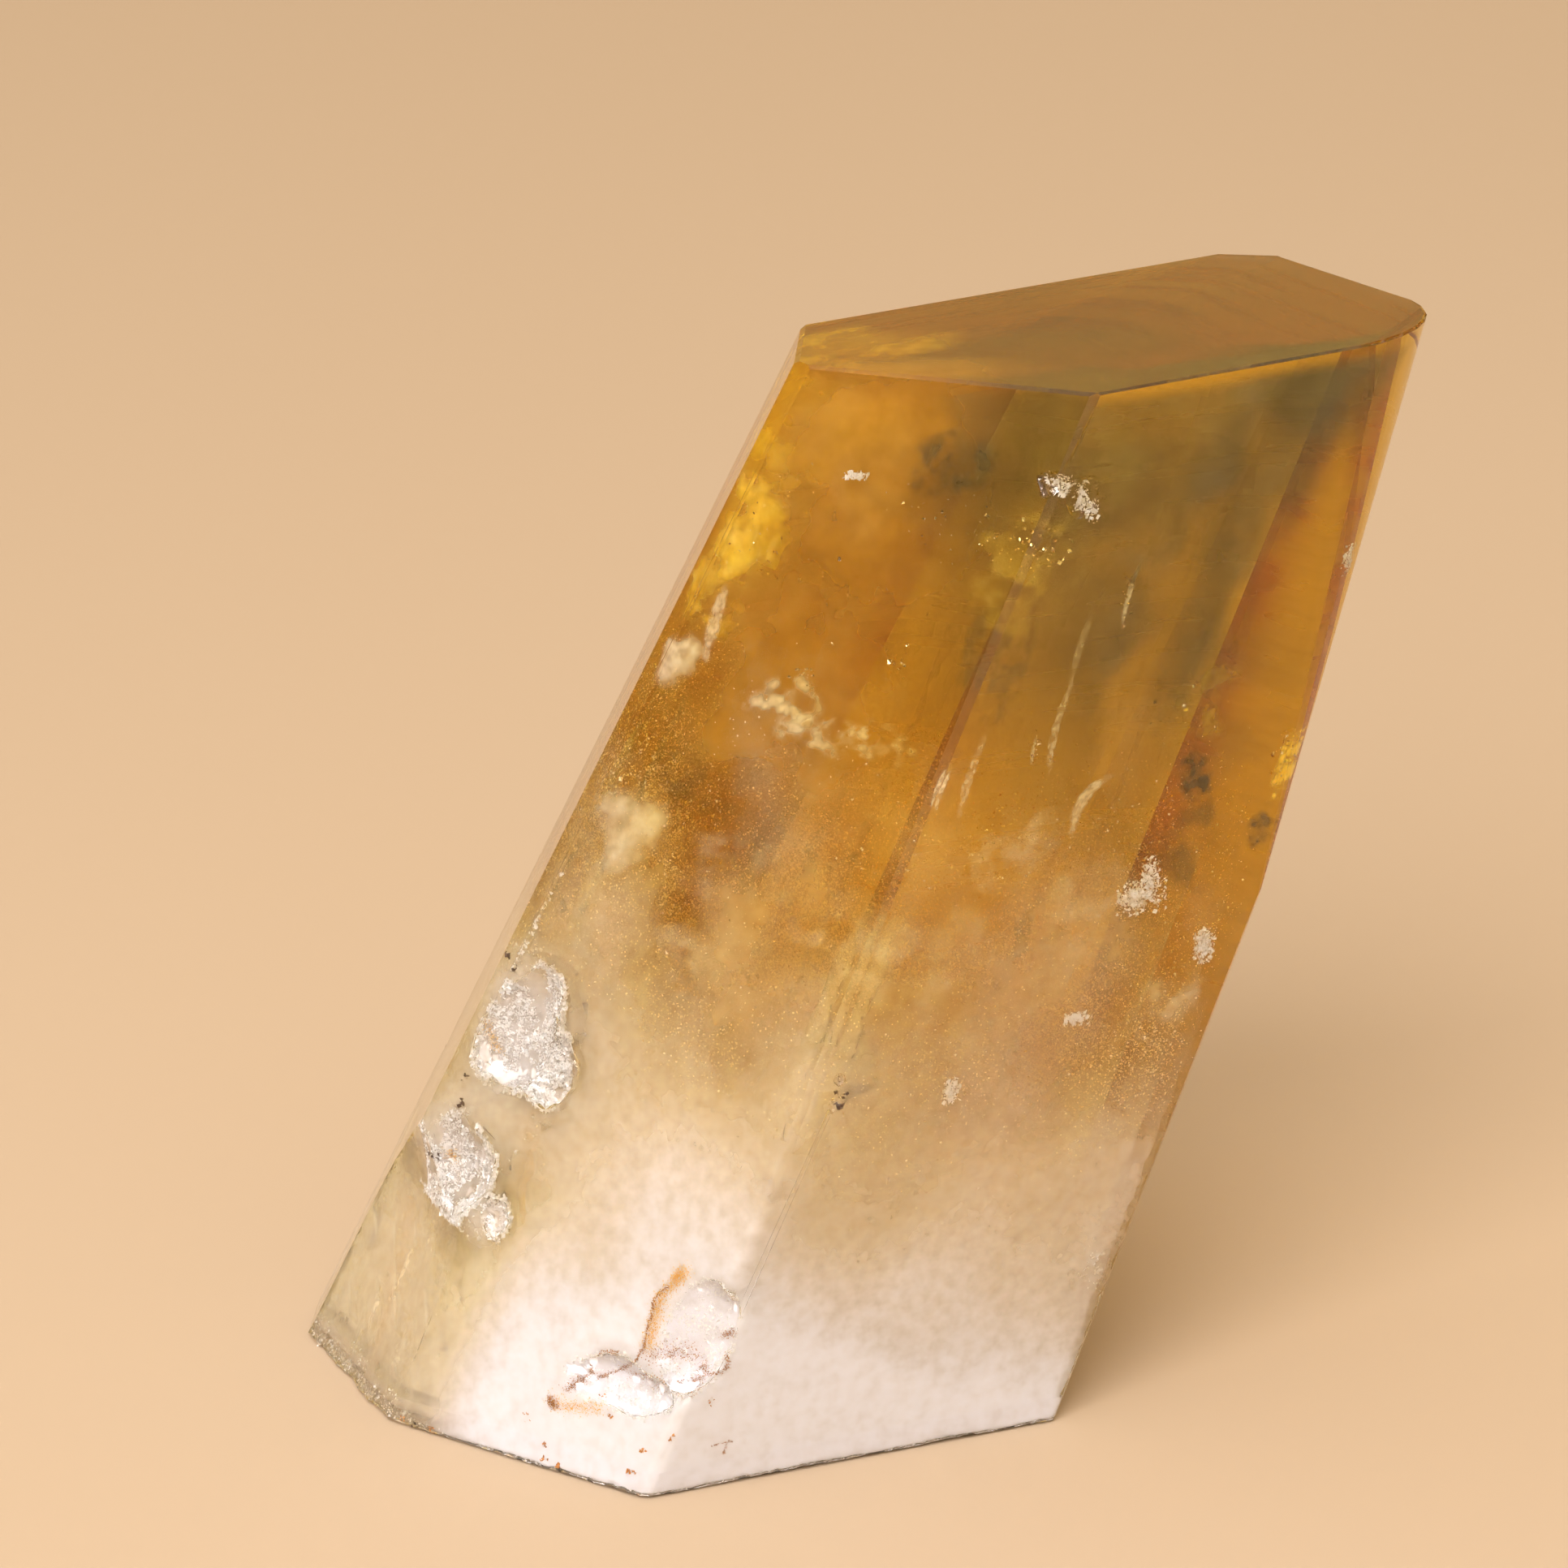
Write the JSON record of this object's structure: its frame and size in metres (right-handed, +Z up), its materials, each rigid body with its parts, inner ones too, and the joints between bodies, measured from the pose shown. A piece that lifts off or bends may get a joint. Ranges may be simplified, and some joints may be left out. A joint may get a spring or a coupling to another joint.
{
  "type": "citrine crystal point",
  "caption": "Leaning six-sided citrine crystal, clear golden above and milky at its broken foot, with a flat ground top and chipped edges.",
  "frame": {"origin": "middle of the box's bottom, on the surface that the crystal stands on", "axes": "+Z up, the front edge between the two large faces points to -Y, and the crystal leans to +X"},
  "size_m": [0.1118, 0.0692, 0.1137],
  "materials": {
    "citrine": "clear golden quartz with polished faces, milky white at the rough foot"
  },
  "bodies": {
    "root": {"crystal": "citrine"}
  },
  "joints": []
}
